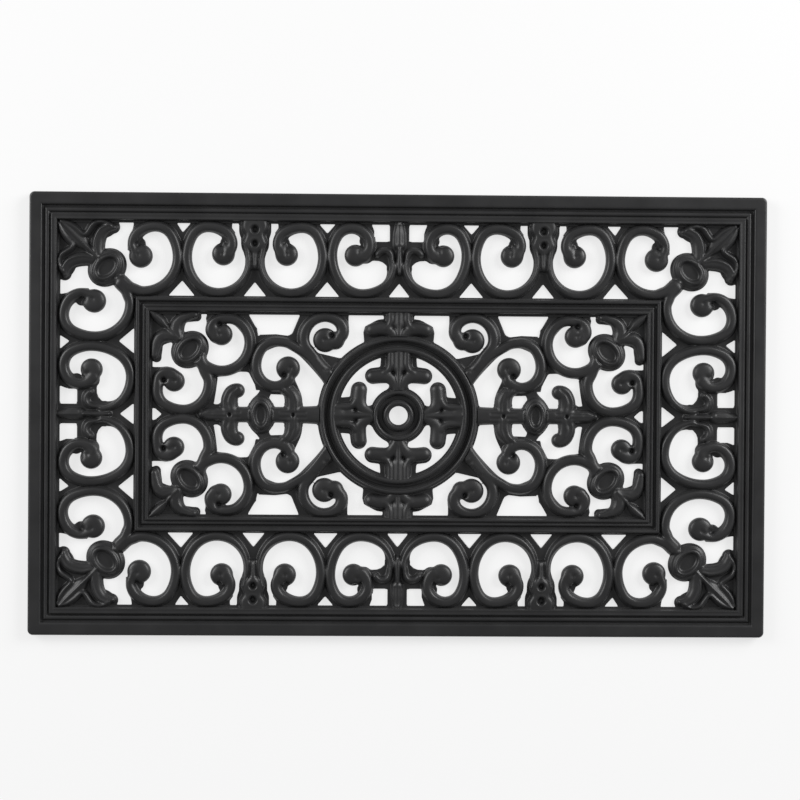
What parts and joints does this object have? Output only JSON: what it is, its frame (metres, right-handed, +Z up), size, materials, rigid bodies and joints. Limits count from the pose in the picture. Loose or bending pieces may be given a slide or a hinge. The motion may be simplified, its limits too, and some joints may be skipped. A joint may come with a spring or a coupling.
{
  "type": "doormat",
  "caption": "Flat rectangular moulded rubber doormat with an open scrollwork field, bordered rails, spear leaves and a beaded ring at its centre.",
  "frame": {"origin": "on the floor under the middle of the mat", "axes": "+Z up out of the floor, +X along the long side, +Y along the short side"},
  "size_m": [0.762, 0.457, 0.0095],
  "materials": {
    "black_rubber": "satin, moulded, with fine mould texture"
  },
  "bodies": {
    "root": {"border_rail_east": "black_rubber", "border_rail_north": "black_rubber", "border_rail_south": "black_rubber", "border_rail_west": "black_rubber", "corner_leaf_ne": "black_rubber", "corner_leaf_nw": "black_rubber", "corner_leaf_se": "black_rubber", "corner_leaf_sw": "black_rubber", "corner_scrolls_ne": "black_rubber", "corner_scrolls_nw": "black_rubber", "corner_scrolls_se": "black_rubber", "corner_scrolls_sw": "black_rubber", "hub": "black_rubber", "leaf_scroll_ne_long": "black_rubber", "leaf_scroll_ne_short": "black_rubber", "leaf_scroll_nw_long": "black_rubber", "leaf_scroll_nw_short": "black_rubber", "leaf_scroll_se_long": "black_rubber", "leaf_scroll_se_short": "black_rubber", "leaf_scroll_sw_long": "black_rubber", "leaf_scroll_sw_short": "black_rubber", "panel_frame_east": "black_rubber", "panel_frame_north": "black_rubber", "panel_frame_south": "black_rubber", "panel_frame_west": "black_rubber", "panel_spray_ne": "black_rubber", "panel_spray_nw": "black_rubber", "panel_spray_se": "black_rubber", "panel_spray_sw": "black_rubber", "post_ne": "black_rubber", "post_nw": "black_rubber", "post_scroll_ne_inner": "black_rubber", "post_scroll_ne_outer": "black_rubber", "post_scroll_nw_inner": "black_rubber", "post_scroll_nw_outer": "black_rubber", "post_scroll_se_inner": "black_rubber", "post_scroll_se_outer": "black_rubber", "post_scroll_sw_inner": "black_rubber", "post_scroll_sw_outer": "black_rubber", "post_se": "black_rubber", "post_sw": "black_rubber", "ring": "black_rubber", "ring_leaf_east": "black_rubber", "ring_leaf_north": "black_rubber", "ring_leaf_south": "black_rubber", "ring_leaf_west": "black_rubber", "ring_scrolls_ne": "black_rubber", "ring_scrolls_nw": "black_rubber", "ring_scrolls_se": "black_rubber", "ring_scrolls_sw": "black_rubber", "side_leaf_east": "black_rubber", "side_leaf_north": "black_rubber", "side_leaf_south": "black_rubber", "side_leaf_west": "black_rubber", "side_ornament_east": "black_rubber", "side_ornament_west": "black_rubber", "top_ornament_north": "black_rubber", "top_ornament_south": "black_rubber"}
  },
  "joints": []
}
